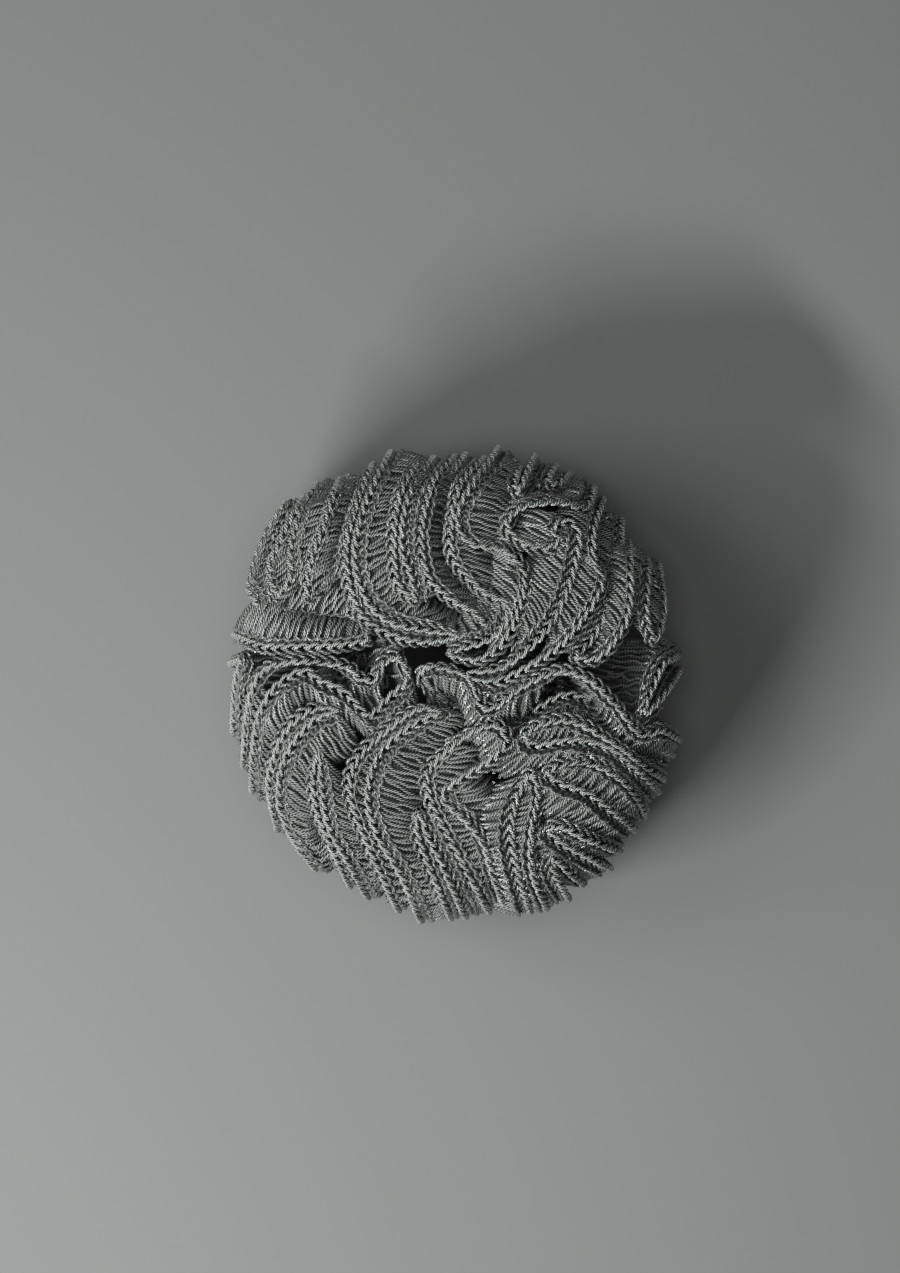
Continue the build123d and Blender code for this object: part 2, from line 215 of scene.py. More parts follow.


# Lays yarn along ways, an array of (way, place, coordinate), and gives one plain mesh. The lots are the
# least and the most that a yarn of it is lightened by: 0 and 1 for plain yarn at random, less for painted
# shade where it lies in shade and more for a painted highlight where it stands up. No yarn goes under the
# floor.
def lay_yarn(name, ways, radius, sides, seed, lot_and_painted_light_range=(0, 1)):
    count, places = ways.shape[:2]
    ways[..., 2] = np.maximum(ways[..., 2], radius)
    mesh = bpy.data.meshes.new(name)
    first = np.arange(count)[:, None] * places + np.arange(places - 1)
    edges = np.stack([first, first + 1], axis=-1).reshape(-1, 2)
    mesh.from_pydata(ways.reshape(-1, 3).tolist(), edges.tolist(), [])
    # Each yarn's lot is random within its range, and the range is shifted up for painted highlight or down
    # for painted shade
    values = np.repeat(np.random.default_rng(seed).uniform(*lot_and_painted_light_range, count), places)
    mesh.attributes.new("yarn_lot_and_painted_light", "FLOAT", "POINT").data.foreach_set("value", values.astype(np.float32))
    source = bpy.data.objects.new(name + "_ways", mesh)
    bpy.context.scene.collection.objects.link(source)
    modifier = source.modifiers.new("laid_yarn", "NODES")
    modifier.node_group = laid_yarn
    given = {"Yarn radius": radius, "Sides": sides, "Finish": grey_yarn}
    for item in laid_yarn.interface.items_tree:
        if item.in_out == "INPUT" and item.name in given:
            modifier[item.identifier] = given[item.name]
    bpy.context.view_layer.update()
    evaluated = source.evaluated_get(bpy.context.evaluated_depsgraph_get())
    laid = bpy.data.objects.new(name, bpy.data.meshes.new_from_object(evaluated))
    bpy.context.scene.collection.objects.link(laid)
    bpy.data.objects.remove(source)
    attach(laid, "root")
    return laid


# Frill fabric
# One strip of crochet, far too long for the ring it is worked on, so it stands on edge in folds that crowd
# each other. This is the cloth between the yarns that show on its two faces.
ring_middle = np.array(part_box("foundation_round")).mean(axis=0)
frill_radius = .054
frill_height = .0486
ring_radius = .027
foot_radius = .0075
hole_place = (-.105, .108)
side_fullness = 8
top_fullness = 2.2
cloth_thickness = .0011
# The cloth is the same yarn, painted darker as painted shade for the strands behind it, in shadow
fabric_painted_shade_tone = (.040, .044, .041)
stitch_pitch = .0026
stitch_width = .0023
stitch_stations = 4
strands_a_stitch = 2
crowding = .40

# How the crests lean over towards the next fold. The heights and shares let the lean fade near the rim, and
# each of the leans is a bearing in degrees and the way its folds lean, from -1, clockwise, to 1.
flop_least = .005
flop_most = .013
flop_past = .0015
flop_depth = .20
flop_curl = 2.2
flop_reach = .25
flop_heights = (-.010, .002, .017)
flop_shares = (0, .4, 1)
flop_smoothings = 3
leans = ((2, 0), (18, 1), (60, 1), (78, -1), (171, -1), (174, 0), (184, 1), (272, 1), (288, -1), (350, -1),
         (362, 0))

# How the crests run: sunk legs rise to the rim, and under the rim they go down the side, even out their
# spacing, and turn back on the underside
rim_run = .12
sunk_run = .25
sunk_end = .25
side_part = .4
side_slope = radians(62)
settled_share = .5
way_steps = 16
side_steps = 32
turn_steps = 10

# The folds, clockwise from the left lip. A crest runs through (across, up) places in shares of the frill's
# radius: the way in, the inner end and the way out. Its two legs are sunk by shares of the way down to the
# sleeve, and the last number is where the fold turns back on the underside, as a share of the way out to
# the rim.
Fold = namedtuple("Fold", "name way_in inner_end way_out sunk_in sunk_out under")
folds = (
    Fold("left_lip", ((-.96, .20), (-.83, .155), (-.66, .155), (-.50, .16)), (-.37, .19),
         ((-.47, .25), (-.66, .275), (-.81, .30), (-.895, .40), (-.875, .52), (-.81, .665), (-.73, .785)),
         0, .22, .30),
    Fold("upper_b", ((-.665, .80), (-.755, .64), (-.81, .48)), (-.765, .375),
         ((-.70, .46), (-.70, .58), (-.66, .74), (-.59, .87)), 0, 0, .52),
    Fold("upper_c", ((-.515, .875), (-.58, .68), (-.635, .52)), (-.65, .375),
         ((-.57, .45), (-.545, .60), (-.50, .77), (-.455, .90)), 0, .14, .28),
    Fold("upper_d", ((-.37, .945), (-.435, .78), (-.485, .56), (-.43, .31), (-.27, .20), (-.11, .179)),
         (.02, .213), ((-.11, .243), (-.27, .275), (-.375, .365), (-.425, .54), (-.385, .76), (-.27, 1.0)),
         0, 0, .50),
    Fold("upper_e", ((-.165, .97), (-.255, .81), (-.28, .58), (-.255, .42)), (-.17, .355),
         ((-.185, .47), (-.225, .60), (-.19, .82), (-.085, .975)), 0, 0, .29),
    Fold("upper_f", ((-.015, .985), (-.11, .87), (-.16, .66), (-.13, .46), (-.02, .355), (.07, .305)),
         (.13, .25), ((.15, .315), (.03, .395), (-.075, .475), (-.095, .66), (-.07, .84), (.05, .985)),
         0, .16, .54),
    Fold("upper_g", ((.115, .98), (.01, .87), (-.03, .70), (-.02, .54), (.10, .40), (.215, .33), (.16, .215)),
         (-.035, .14),
         ((.10, .10), (.235, .215), (.305, .45), (.22, .58), (.06, .62), (.02, .75), (.19, 1.01)), 0, 0, .27),
    Fold("top_a", ((.265, .95), (.24, .86)), (.265, .815), ((.30, .87), (.345, .975)), 0, 0, .51),
    Fold("top_b", ((.42, .945), (.385, .885)), (.42, .845), ((.47, .87), (.50, .90)), 0, 0, .30),
    Fold("swirl", ((.585, .86), (.55, .77), (.43, .79), (.28, .77), (.205, .69), (.27, .605), (.39, .575),
                   (.455, .62), (.425, .66), (.47, .695), (.515, .64), (.495, .50), (.44, .34), (.345, .20),
                   (.20, .085)),
         (.045, .045),
         ((.17, .005), (.34, .085), (.48, .185), (.595, .34), (.635, .44), (.60, .54), (.60, .66),
          (.64, .79)),
         0, 0, .53),
    Fold("right_a", ((.705, .72), (.71, .59), (.70, .44), (.655, .31), (.585, .20)), (.505, .118),
         ((.61, .105), (.715, .22), (.757, .37), (.748, .60)), .12, 0, .28),
    Fold("right_b", ((.82, .55), (.812, .42), (.81, .28)), (.848, .18),
         ((.893, .27), (.892, .40), (.878, .505)), 0, 0, .50),
    Fold("right_corner", ((.965, .14), (.885, .095), (.83, -.02)), (.80, -.135),
         ((.865, -.085), (.925, -.01), (.965, .05)), 0, 0, .30),
    Fold("collar", ((.965, -.23), (.88, -.185), (.79, -.20), (.69, -.08), (.57, .03), (.43, .065),
                    (.27, -.01), (.175, -.085), (.12, -.09), (.085, -.02), (.04, .04), (-.04, .075)),
         (-.135, .075), ((-.09, .015), (-.02, -.04), (.05, -.125), (.17, -.145), (.33, -.105), (.50, -.055),
                         (.66, -.13), (.79, -.255), (.93, -.315)), 0, .30, .53),
    Fold("lower_a", ((.90, -.40), (.80, -.335), (.67, -.24), (.50, -.148), (.35, -.165)), (.287, -.228),
         ((.35, -.27), (.50, -.247), (.66, -.282), (.785, -.39), (.865, -.475)), 0, 0, .29),
    Fold("lower_b", ((.82, -.56), (.785, -.485), (.70, -.39), (.57, -.328), (.44, -.34)), (.385, -.385),
         ((.45, -.435), (.56, -.475), (.66, -.55), (.765, -.64)), 0, 0, .51),
    Fold("lower_c", ((.715, -.715), (.57, -.655), (.45, -.60)), (.39, -.625),
         ((.45, -.69), (.56, -.75), (.655, -.80)), 0, 0, .28),
    Fold("lower_d", ((.56, -.855), (.49, -.80), (.455, -.76)), (.41, -.745), ((.41, -.81), (.475, -.93)),
         0, 0, .52),
    Fold("lower_e", ((.40, -.965), (.335, -.80), (.33, -.64), (.36, -.47)), (.32, -.375),
         ((.25, -.48), (.225, -.64), (.255, -.82), (.31, -.985)), 0, 0, .30),
    Fold("lower_f", ((.23, -.975), (.165, -.81), (.12, -.67), (.03, -.56), (-.05, -.48), (.03, -.41),
                     (.15, -.335), (.225, -.25)),
         (.185, -.17), ((.09, -.185), (-.03, -.265), (-.13, -.37), (-.12, -.50), (-.02, -.70), (.13, -.985)),
         0, 0, .53),
    Fold("lower_g", ((.05, -1.0), (-.05, -.77), (-.11, -.65)), (-.16, -.545),
         ((-.18, -.63), (-.14, -.75), (-.035, -1.01)), 0, 0, .28),
    Fold("lower_h", ((-.14, -1.02), (-.235, -.80), (-.335, -.63), (-.37, -.46), (-.31, -.29), (-.17, -.175)),
         (-.06, -.125),
         ((-.17, -.10), (-.30, -.185), (-.43, -.31), (-.47, -.44), (-.425, -.61), (-.26, -.975)), 0, 0, .51),
    Fold("lower_i", ((-.37, -.92), (-.46, -.75), (-.54, -.60), (-.567, -.43)), (-.588, -.29),
         ((-.627, -.40), (-.61, -.54), (-.555, -.68), (-.47, -.865)), 0, 0, .30),
    Fold("lower_j", ((-.595, -.80), (-.70, -.655), (-.752, -.49), (-.72, -.31), (-.61, -.165)), (-.50, -.11),
         ((-.61, -.095), (-.73, -.18), (-.79, -.30), (-.815, -.44), (-.78, -.62)), 0, 0, .53),
    Fold("eyelets", ((-.87, -.47), (-.865, -.30), (-.83, -.12), (-.75, 0), (-.65, .05), (-.59, .01),
                     (-.49, -.035), (-.425, -.105)),
         (-.37, -.145), ((-.28, -.06), (-.187, .035), (-.225, .12), (-.30, .105), (-.345, .035), (-.41, .04),
                         (-.46, .085), (-.60, .105), (-.75, .102), (-.865, .05), (-.915, -.11),
                         (-.925, -.34)),
         0, .08, .28),
    Fold("left_low", ((-.955, -.22), (-.95, -.04)), (-.92, .105), ((-.97, .10),), 0, 0, .50),
)


# A place on the frill is given by its bearing round the hole, its share of the radius and its height.
# Circles of equal share move from the hole's own place to the middle of the frill as they grow.
def bearing_and_share(across, up):
    from_hole = (across - hole_place[0], up - hole_place[1])
    along = from_hole[0] * hole_place[0] + from_hole[1] * hole_place[1]
    spread = 1 - hypot(*hole_place) ** 2
    share = (along + np.sqrt(along ** 2 + spread * (from_hole[0] ** 2 + from_hole[1] ** 2))) / spread
    bearing = np.arctan2(from_hole[1] + share * hole_place[1], from_hole[0] + share * hole_place[0])
    return bearing, share


rims = np.array([bearing_and_share(*place)
                 for fold in folds for place in (fold.way_in[0], fold.way_out[-1])])
rims[:, 0] = np.unwrap(rims[:, 0])


# The frill's outline from above, through the places where its legs reach the rim
def rim_share(bearing):
    around = np.vstack([rims, [[rims[0, 0] - 2 * pi, rims[0, 1]]]])[::-1]
    turned = rims[0, 0] - (rims[0, 0] - bearing) % (2 * pi)
    return np.interp(turned, around[:, 0], around[:, 1])


# The frill's outline from the side, over its middle height, at a share of the way out to the rim
def top_height(outward):
    return frill_height / 2 * (1 - np.minimum(outward, 1) ** side_fullness) ** (1 / top_fullness)


# A smooth line through places, in way_steps steps from each place to the next
def smooth_line(places):
    padded = np.vstack([2 * places[0] - places[1], places, 2 * places[-1] - places[-2]])
    part = np.linspace(0, 1, way_steps, endpoint=False)[:, None]
    spans = [(2 * start + (stop - before) * part + (2 * before - 5 * start + 4 * stop - after) * part ** 2
              + (3 * start - before - 3 * stop + after) * part ** 3) / 2
             for before, start, stop, after in zip(padded, padded[1:], padded[2:], padded[3:])]
    return np.vstack([*spans, places[-1:]])


# The crest of one fold on top, as columns of bearing, share, height and sunk
def top_way(fold):
    way = smooth_line(np.array([*fold.way_in, fold.inner_end, *fold.way_out]))
    bearing, share = bearing_and_share(way[:, 0], way[:, 1])
    middle = len(fold.way_in) * way_steps
    index = np.arange(len(way))
    leg_part = np.where(index < middle, index / middle, (len(way) - 1 - index) / (len(way) - 1 - middle))
    outward = share / rim_share(bearing)
    sunk = np.where(index < middle, fold.sunk_in, fold.sunk_out) * np.minimum(
        np.clip((1 - outward) / rim_run, 0, 1), np.minimum(1, (1 - leg_part) / sunk_run + sunk_end))
    return np.column_stack([bearing, share, top_height(outward), sunk])


# From the rim of one leg down the side, under the frill, round and back up to the rim of the next
def under_way(leg, under):
    spacing = 2 * pi / len(rims)
    evens = -spacing * np.arange(len(rims))
    first_even = (rims[:, 0] - evens).mean() - spacing * leg
    side_end = cos(side_slope) ** (2 / side_fullness)
    part = np.arange(1, side_steps + 1) / side_steps
    on_side = np.cos(side_slope * np.minimum(part / side_part, 1)) ** (2 / side_fullness)
    run_in = side_end + (under - side_end) * (part - side_part) / (1 - side_part)
    outward = np.where(part <= side_part, on_side, run_in)
    moved = side_part + (1 - side_part) * (side_end - outward) / (side_end - settled_share)
    moved = np.minimum(1, np.where(part <= side_part, part, moved))
    legs = []
    for number in (0, 1):
        even = first_even - spacing * number
        rim = rims[(leg + number) % len(rims), 0]
        rim = rim + 2 * pi * round((even - rim) / (2 * pi))
        bearing = rim + (even - rim) * moved * moved * (3 - 2 * moved)
        share = outward * rim_share(bearing)
        legs.append(np.column_stack([bearing, share, -top_height(outward), 0 * part]))
    angle = pi * np.arange(1, turn_steps) / turn_steps
    bearing = first_even - spacing / 2 * (1 - np.cos(angle))
    share = legs[0][-1, 1] * (1 - spacing / 2 * np.sin(angle))
    bend = np.column_stack([bearing, share, -top_height(share / rim_share(bearing)), 0 * angle])
    return np.vstack([legs[0], bend, legs[1][::-1]])


# Which way the folds lean at a bearing, from -1, clockwise, to 1
def leaning(bearing):
    turned = np.degrees(bearing) % 360
    turned = np.where(turned < leans[0][0], turned + 360, turned)
    bearings, values = np.array(leans).T
    index = np.clip(np.searchsorted(bearings, turned, side="right") - 1, 0, len(bearings) - 2)
    part = (turned - bearings[index]) / (bearings[index + 1] - bearings[index])
    part = (1 - np.cos(pi * part)) / 2
    return values[index] * (1 - part) + values[index + 1] * part


# A place on the wall under a crest, at a share of the depth down to the sleeve
def wall_places(crest, depth):
    bearing, share, height, sunk, flop = crest
    flop = flop * (1 - (1 - np.minimum(depth / flop_depth, 1)) ** flop_curl)
    depth = sunk + (1 - sunk) * depth
    slope = np.arctan2(height, share * frill_radius - ring_radius)
    foot_out = ring_radius + foot_radius * np.cos(slope)
    outward = share * frill_radius * (1 - depth) + foot_out * depth
    rise = height * (1 - depth) + foot_radius * np.sin(slope) * depth
    turned = bearing + flop / np.maximum(outward, flop_reach * frill_radius)
    shift = (1 - share) * frill_radius * (1 - depth) - (frill_radius - ring_radius) * (1 - depth)
    return np.stack([ring_middle[0] + hole_place[0] * shift + outward * np.cos(turned),
                     ring_middle[1] + hole_place[1] * shift + outward * np.sin(turned),
                     ring_middle[2] + rise], axis=-1)


# The whole crest, one closed line, and how many stitches fit on it. It is worked out at stations, a few to
# each stitch.
crest = np.vstack([part for number, fold in enumerate(folds)
                   for part in (top_way(fold), under_way(2 * number + 1, fold.under))])
crest[:, 0] = np.unwrap(crest[:, 0])
crest = np.vstack([crest, crest[:1] - [[2 * pi, 0, 0, 0]]])
crest = np.column_stack([crest, np.zeros(len(crest))])
runs = np.linalg.norm(np.diff(wall_places(crest.T, 0), axis=0), axis=1)
runs = np.concatenate([[0], np.cumsum(runs)])
strip_length = runs[-1]
stitches = round(strip_length / stitch_pitch)
stations = stitches * stitch_stations
station_step = strip_length / stations
station_runs = np.arange(stations) * station_step
crest = np.column_stack([np.interp(station_runs, runs, column) for column in crest.T])


# Values known at every few stations, filled in at all of them
def at_stations(values):
    known = np.arange(len(values) + 1)
    return np.interp(np.arange(stations) / (stations // len(values)), known, np.append(values, values[0]))


# How far each stitch leans over: past the next crest on that side, where one is near. Only crests that show
# from above count as near.
shown_height = -.004
least_gap = .0003
heads = crest[::stitch_stations]
seen = wall_places(heads.T, 0)
after = np.roll(seen, -1, axis=0)
course = (after - np.roll(seen, 1, axis=0))[:, :2]
course /= np.linalg.norm(course, axis=1, keepdims=True)
side = np.sign(leaning(heads[:, 0]))
aim = side[:, None] * np.column_stack([-np.sin(heads[:, 0]), np.cos(heads[:, 0])])
shown = heads[:, 2] > shown_height
gaps = np.full(len(seen), flop_most)
for index in np.flatnonzero(shown):
    start = seen[:, :2] - seen[index, :2]
    stop = after[:, :2] - seen[index, :2]
    from_start = aim[index, 0] * start[:, 1] - aim[index, 1] * start[:, 0]
    from_stop = aim[index, 0] * stop[:, 1] - aim[index, 1] * stop[:, 0]
    crossing = (from_start * from_stop < 0) & shown
    crossing[[index - 1, index]] = False
    part = from_start / np.where(crossing, from_start - from_stop, 1)
    ahead = start @ aim[index] * (1 - part) + stop @ aim[index] * part
    ahead = ahead[crossing & (ahead > least_gap)]
    if len(ahead):
        gaps[index] = min(flop_most, ahead.min())
gaps *= np.abs(course[:, 0] * aim[:, 1] - course[:, 1] * aim[:, 0])
flops = np.clip(gaps + flop_past, flop_least, flop_most)
for smoothing in range(flop_smoothings):
    flops = (np.roll(flops, 1) + flops * 2 + np.roll(flops, -1)) / 4
flops *= leaning(heads[:, 0]) * np.interp(heads[:, 2], flop_heights, flop_shares)
crest[:, 4] = at_stations(flops)

# The wall's places and its faces' directions at every station, at falls, lengths down the cloth from its
# crest. The first ones hold everywhere, and the last ones share what is left down to the sleeve.
falls = np.array([0, .0007, .0014, .0022, .0032, .0044, .0058, .0075, .0095, .012, .015, .019, .023, .027])
last_held = 10
held_share = .8
depth_steps = 40
depth_crowding = 1.6
depths = np.linspace(0, 1, depth_steps + 1) ** depth_crowding
down = wall_places(crest.T[:, :, None], depths[None, :])
reached = np.cumsum(np.linalg.norm(np.diff(down, axis=1), axis=-1), axis=1)
reached = np.column_stack([np.zeros(stations), reached])
held = falls[:last_held + 1] * np.minimum(1, reached[:, -1:] * held_share / falls[last_held])
rest = (falls[last_held + 1:] - falls[last_held]) / (falls[-1] - falls[last_held])
wanted = np.column_stack([held, held[:, -1:] + (reached[:, -1:] - held[:, -1:]) * rest])
wanted_depths = np.array([np.interp(row, runs_down, depths) for row, runs_down in zip(wanted, reached)])
wall = wall_places(crest.T[:, :, None], wanted_depths)
wall_along = np.roll(wall, -1, axis=0) - np.roll(wall, 1, axis=0)
wall_down = np.gradient(wall, axis=1)
wall_out = np.cross(wall_along, wall_down)
wall_out /= np.linalg.norm(wall_out, axis=-1, keepdims=True)

# How much of the full thickness fits before the next fold is met. A near place is on another fold where the
# way to it along the crest is longer than the straight way, by a share and a length.
fit_stations = 2
detour_share = 1.45
detour_length = .0004
tops = wall[::fit_stations, 0]
fit = np.ones(len(tops))
for index, place in enumerate(tops):
    near = np.linalg.norm(tops - place, axis=1)
    apart = np.abs(np.arange(len(tops)) - index)
    apart = np.minimum(apart, len(tops) - apart) * fit_stations * station_step
    others = near[apart > detour_share * near + detour_length]
    fit[index] = min(1, others.min() * 2 * crowding / stitch_width)
fit = at_stations(np.minimum(fit, np.minimum(np.roll(fit, 1), np.roll(fit, -1))))


# The share of the full thickness that fits at a run along the crest
def fitting(run):
    return np.interp(run % strip_length, station_runs, fit)


# Places on the wall at a run along the crest and a fall down the cloth, with a distance out of its left
# face
def on_wall(run, fall, out):
    run = np.asarray(run) / station_step % stations
    row = np.interp(fall, falls, np.arange(len(falls)))
    run, row, out = np.broadcast_arrays(run, row, out)
    station = np.floor(run).astype(int) % stations
    level = np.minimum(row.astype(int), len(falls) - 2)
    run_part = (run - np.floor(run))[..., None]
    row_part = (row - level)[..., None]
    after = (station + 1) % stations

    def blend(grid):
        upper = grid[station, level] * (1 - run_part) + grid[after, level] * run_part
        lower = grid[station, level + 1] * (1 - run_part) + grid[after, level + 1] * run_part
        return upper * (1 - row_part) + lower * row_part

    return blend(wall) + blend(wall_out) * out[..., None]


# The cloth, thin at its crest and at its foot
cloth_rows = np.array([.0009, .0018, .0034, .0058, .009, .014, .020, .027])
cloth_swell_falls = (0, .002, falls[-1])
cloth_swell = (.4, 1, .5)
strand_stations = stitch_stations // strands_a_stitch
cloth_runs = np.arange(stitches * strands_a_stitch) * strand_stations * station_step
half = cloth_thickness / 2 * fitting(cloth_runs)[:, None]
half = half * np.interp(cloth_rows, cloth_swell_falls, cloth_swell)[None, :]
lefts = on_wall(cloth_runs[:, None], cloth_rows[None, :], half)
rights = on_wall(cloth_runs[:, None], cloth_rows[None, :], -half)
loop = np.concatenate([lefts, rights[:, ::-1]], axis=1)
count, around = loop.shape[:2]
corner = np.arange(count)[:, None] * around + np.arange(around)
beside = np.roll(corner, -1, axis=1)
faces = np.stack([corner, beside, np.roll(beside, -1, axis=0), np.roll(corner, -1, axis=0)], axis=-1)
cloth_mesh = bpy.data.meshes.new("frill_fabric")
cloth_mesh.from_pydata(loop.reshape(-1, 3).tolist(), [], faces.reshape(-1, 4).tolist())
cloth_mesh.update()
for polygon in cloth_mesh.polygons:
    polygon.use_smooth = True
frill_fabric = bpy.data.objects.new("frill_fabric", cloth_mesh)
bpy.context.scene.collection.objects.link(frill_fabric)

# Between the strands on its faces the cloth shows the strands behind them, as painted strands in painted
# shade, so each of its places keeps its run and fall on the strip
loop_rows = np.concatenate([cloth_rows, cloth_rows[::-1]])
for name, values in (("strip_run", cloth_runs[:, None]), ("strip_fall", loop_rows)):
    attribute = cloth_mesh.attributes.new(name, "FLOAT", "POINT")
    values = np.broadcast_to(values, loop.shape[:2])
    attribute.data.foreach_set("value", values.ravel().astype(np.float32))

strand_scale = 260
strand_wander = 3
strand_light = .45
strand_relief = .0002
strand_plies = .5
lint_scale = 2600
lint_light = .6
fabric_light = .7
fabric_least = .15


# Paints the strands behind the faces in shade: a dark painted shade tone with lighter strand stripes
def fabric_material():
    fabric = Finish("fabric_painted_in_shade")
    math = fabric.math
    across = math("MULTIPLY", fabric.stored("strip_run"), pi / station_step)
    ply = math("MULTIPLY", fabric.stored("strip_fall"), 2 * pi * yarn_plies / yarn_turn)
    wander = math("MULTIPLY", fabric.noise(strand_scale, 2), strand_wander)
    strand = math("COSINE", math("ADD", across, wander))
    plied = math("SINE", math("ADD", ply, across))
    lint = fabric.noise(lint_scale, 2)
    height = math("ADD", strand, math("MULTIPLY", plied, strand_plies))
    even = math("ADD", math("MULTIPLY", lint, lint_light), fabric_light)
    light = math("ADD", math("MULTIPLY", height, strand_light), even)
    fabric.tone(fabric_painted_shade_tone, math("MAXIMUM", light, fabric_least))
    fabric.bump(height, strand_relief)
    fabric.surface(Roughness=.7, Specular_IOR_Level=.2)
    return fabric.material


cloth = fabric_material()
cloth_mesh.materials.append(cloth)
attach(frill_fabric, "root")
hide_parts(*(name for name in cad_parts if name.startswith("ruffle")))


# Edge chain
# The last round of the frill ends in a chain: each stitch lays two legs of yarn that open from the tail of
# the one before and close over it. The leg towards the left face stands up as one bright line, a painted
# highlight in its colour, and the leg towards the right face is painted darker as painted shade.
chain_width = .0022
chain_yarn = .00045
chain_rise = .00036
chain_sink = .0002
chain_jitter = .00014

# One leg: where its places are along the stitch, how far out to its side, and how high
leg = np.array([-.10, .16, .45, .75, 1.0, 1.2])
leg_side = np.array([.12, .22, .60, .96, 1.05, .75])
leg_rise = np.array([-.5, .7, 1.0, .7, -.2, -1.3])
tails = np.arange(stitches) * stitch_stations * station_step

# The chain lies flat on the outside of the frill, so its own directions are those of the frill as a whole
upright = crest * [1, 1, 1, 1, 0]
chain_up = wall_places(upright.T, 0) - wall_places(upright.T, 1)
chain_along = wall_along[:, 0] / np.linalg.norm(wall_along[:, 0], axis=-1, keepdims=True)
chain_up -= (chain_up * chain_along).sum(axis=-1, keepdims=True) * chain_along
chain_up /= np.linalg.norm(chain_up, axis=-1, keepdims=True)
chain_side = np.cross(chain_up, chain_along)


def chain_legs(side, lift, seed):
    jitter = np.random.default_rng(seed)
    run = tails[:, None] + leg * stitch_pitch
    run = run + jitter.uniform(-chain_jitter, chain_jitter, (stitches, 1))
    station = np.round(run / station_step).astype(int) % stations
    out = side * chain_width / 2 * leg_side * fitting(run)
    rise = leg_rise * chain_rise + lift + jitter.uniform(-chain_jitter, chain_jitter, (stitches, 1))
    rise = (rise - chain_sink)[..., None]
    return on_wall(run, 0, 0) + chain_side[station] * out[..., None] + chain_up[station] * rise


# The left legs' lots are raised as a painted highlight and the right legs' lowered as painted shade
edge_chains = [lay_yarn(name, chain_legs(side, lift, seed), chain_yarn, 4, seed, lot_and_painted_light_range)
               for name, side, lift, lot_and_painted_light_range, seed in (("edge_chain_left", 1, .00050, (1.2, 2.8), 5),
                                                    ("edge_chain_right", -1, -.00025, (-.5, .6), 6))]


# Cross bars
# Each stitch is closed by a loop that lies across the head of its post, right under the chain, on both
# faces. It lies in the chain's shade, which is painted into its yarn as lower lots.
bar_yarn = .00042
bar_fall = .0021
bar_out = .00088
bar_jitter = .0002

# One bar: where its places are along the stitch, how far they sag, and how far they bow out
bar = np.array([-.15, .45, 1.05])
bar_sag = np.array([.0005, -.0004, .0004])
bar_bow = np.array([-.0002, .0003, -.0001])


def cross_bars(side, seed):
    jitter = np.random.default_rng(seed)
    run = tails[:, None] + bar * stitch_pitch + jitter.uniform(-bar_jitter, bar_jitter, (stitches, 1))
    fall = bar_fall + bar_sag + jitter.uniform(-bar_jitter, bar_jitter, (stitches, 1))
    return on_wall(run, fall, side * ((bar_out + bar_bow) * fitting(run)))


# The bars' lots are lowered as painted shade under the chain
bars = [lay_yarn(name, cross_bars(side, seed), bar_yarn, 4, seed, (-.6, .3))
        for name, side, seed in (("cross_bars_left", 1, 8), ("cross_bars_right", -1, 9))]


# Posts
# Under the chain each stitch shows two strands on either face, side by side down its tall post, a little
# slanted and waved. The upper row is what the folds show, and the lower one closes the valleys.
post_yarn = .00051
post_out = .00072
post_swell = .00016
post_unevenness = .00010
post_start_jitter = .0004
pair_opening = .00026
slant_spread = .00042
wave_widths = (.00020, .00045)
wave_turns = (1.2, 2.2)
strands = np.arange(stitches * strands_a_stitch) * strand_stations * station_step + station_step


def post_ways(side, upper, lower, places, seed):
    jitter = np.random.default_rng(seed)
    each = (len(strands), 1)
    part = np.linspace(0, 1, places)[None, :]
    slant = jitter.normal(0, slant_spread, each)
    wave_width = jitter.uniform(*wave_widths, each)
    wave = wave_width * np.sin(2 * pi * (part * jitter.uniform(*wave_turns, each) + jitter.random(each)))
    pair = np.where(np.arange(len(strands)) % 2, -1, 1)[:, None] * pair_opening * (1 - 2 * part)
    run = strands[:, None] + slant * (part - .5) * 2 + wave + pair
    start_jitter = jitter.uniform(-post_start_jitter, post_start_jitter, each)
    fall = upper + (lower - upper) * part + start_jitter * (part < .5)
    swell = post_swell * np.sin(pi * part) + jitter.normal(0, post_unevenness, each)
    return on_wall(run, fall, side * (post_out * fitting(run) + swell))


posts = [lay_yarn(name, post_ways(side, upper, lower, places, seed), post_yarn, sides, seed, (0, .9))
         for name, side, upper, lower, places, sides, seed in (
             ("upper_posts_left", 1, .0019, .0130, 6, 4, 11),
             ("upper_posts_right", -1, .0019, .0130, 6, 4, 12),
             ("lower_posts_left", 1, .0125, .0262, 3, 3, 13),
             ("lower_posts_right", -1, .0125, .0262, 3, 3, 14))]


# Sleeve
# Short stitches worked close together over the elastic, all round the ring. The tube is the cloth, and the
# yarns lie round it side by side.
sleeve_radius = .0064
sleeve_bore = .0030
sleeve_yarn = .00042
sleeve_yarns = 120
sleeve_yarn_radius = sleeve_radius + .0002
sleeve_yarn_steps = 18
sleeve_sway = .03
sleeve_sways = 3
tubes = []
for radius, segments in ((sleeve_radius, 20), (sleeve_bore, 12)):
    bpy.ops.mesh.primitive_torus_add(major_radius=ring_radius, minor_radius=radius, major_segments=96,
                                     minor_segments=segments, location=ring_middle)
    tubes.append(bpy.context.object)
sleeve, lining = tubes
lining.data.flip_normals()
bpy.ops.object.select_all(action="DESELECT")
for tube in tubes:
    tube.select_set(True)
bpy.context.view_layer.objects.active = sleeve
bpy.ops.object.join()
bpy.ops.object.transform_apply()
sleeve.name = "sleeve"
sleeve.data.name = "sleeve"
for polygon in sleeve.data.polygons:
    polygon.use_smooth = True
sleeve.data.materials.clear()
# The sleeve's tube takes the cloth's painted shade
sleeve.data.materials.append(cloth)
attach(sleeve, "root")
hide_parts("foundation_round")

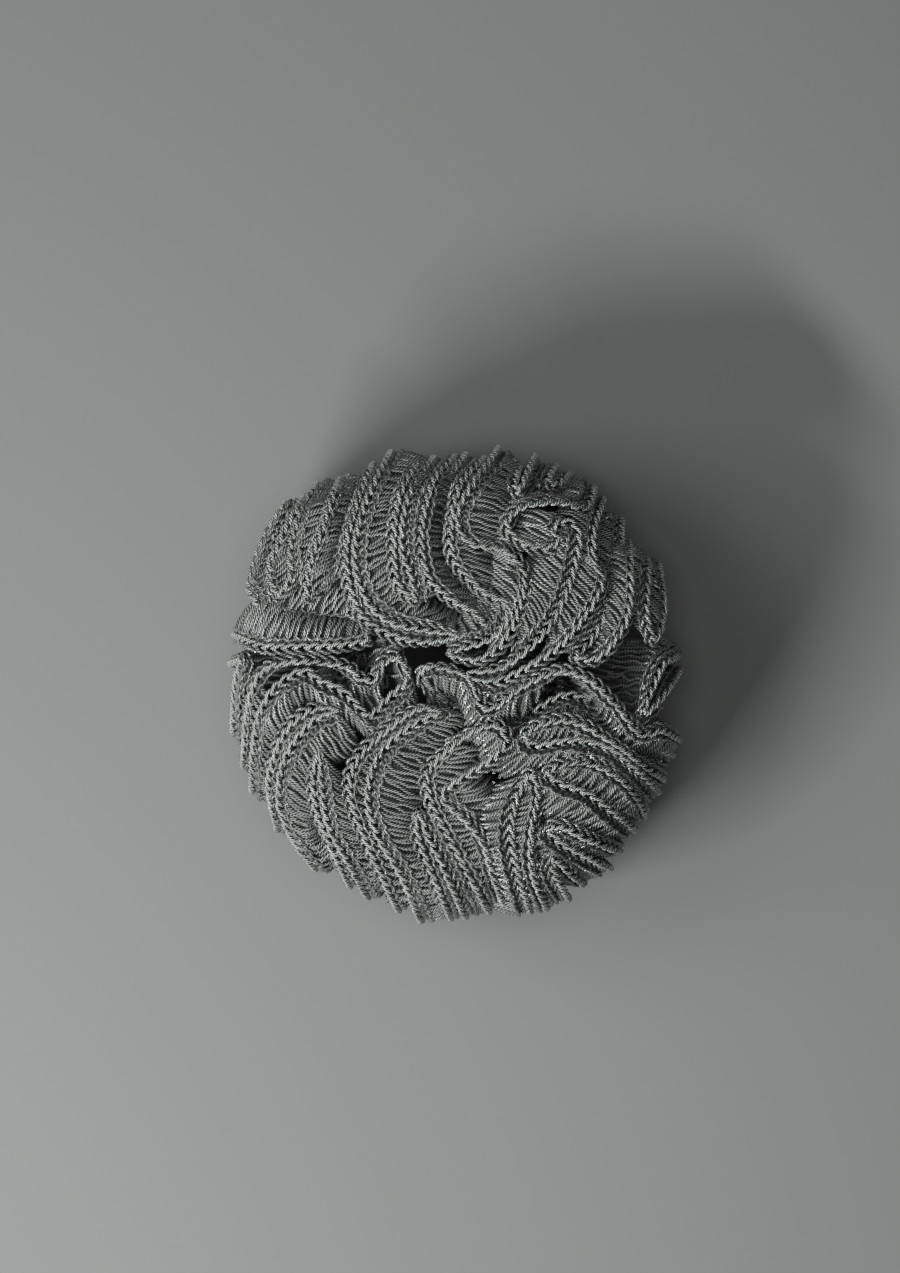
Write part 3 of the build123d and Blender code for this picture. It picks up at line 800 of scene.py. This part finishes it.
turns = np.linspace(0, 2 * pi, sleeve_yarn_steps + 1)[None, :]
bearings = np.linspace(0, 2 * pi, sleeve_yarns, endpoint=False)[:, None]
bearings = bearings + sleeve_sway * np.sin(turns * sleeve_sways)
reach = ring_radius + sleeve_yarn_radius * np.cos(turns)
heights = ring_middle[2] + sleeve_yarn_radius * np.sin(turns) + 0 * bearings
round_ways = np.stack([ring_middle[0] + reach * np.cos(bearings), ring_middle[1] + reach * np.sin(bearings),
                       heights], axis=-1)
sleeve_stitches = lay_yarn("sleeve_stitches", round_ways, sleeve_yarn, 5, 21)


# Floor, light and camera
# The scrunchie lies on a pale plain floor under soft studio light from the lower left, seen from straight
# above as in the picture, 210 mm across.
floor_colour = (.100, .107, .102, 1)
floor_width = 4
picture_width = .210
picture_middle = (-.00153, .01117)
picture_level = .03
camera_distance = 3.0
camera_film = 36
lit_middle = Vector((0, 0, .04))
room_light = .2
bpy.ops.mesh.primitive_plane_add(size=floor_width, location=(0, 0, 0))
floor = bpy.context.object
floor.name = "floor"
paper = Finish("plain_floor")
paper.surface(Base_Color=floor_colour, Roughness=.9)
floor.data.materials.append(paper.material)


def soft_light(name, place, size, power):
    data = bpy.data.lights.new(name, "AREA")
    data.shape = "RECTANGLE"
    data.size = size[0]
    data.size_y = size[1]
    data.energy = power
    light = bpy.data.objects.new(name, data)
    light.location = place
    light.rotation_euler = (light.location - lit_middle).to_track_quat("Z", "Y").to_euler()
    bpy.context.scene.collection.objects.link(light)


soft_light("lower_left_light", place=(-.30, -.27, .32), size=(.24, .035), power=5.8)
soft_light("left_light", place=(-.75, .15, .75), size=(.6, .6), power=8.5)
soft_light("upper_fill", place=(.05, .05, 1.5), size=(.5, .5), power=8)
world = bpy.data.worlds.new("soft_room")
world.use_nodes = True
world.node_tree.nodes["Background"].inputs["Color"].default_value = (1, 1, 1, 1)
world.node_tree.nodes["Background"].inputs["Strength"].default_value = room_light
bpy.context.scene.world = world

camera_data = bpy.data.cameras.new("camera")
camera_data.sensor_fit = "HORIZONTAL"
camera_data.sensor_width = camera_film
camera_data.lens = camera_film * camera_distance / picture_width
camera_data.clip_end = 20
camera = bpy.data.objects.new("camera", camera_data)
camera.location = (*picture_middle, picture_level + camera_distance)
bpy.context.scene.collection.objects.link(camera)
bpy.context.scene.camera = camera
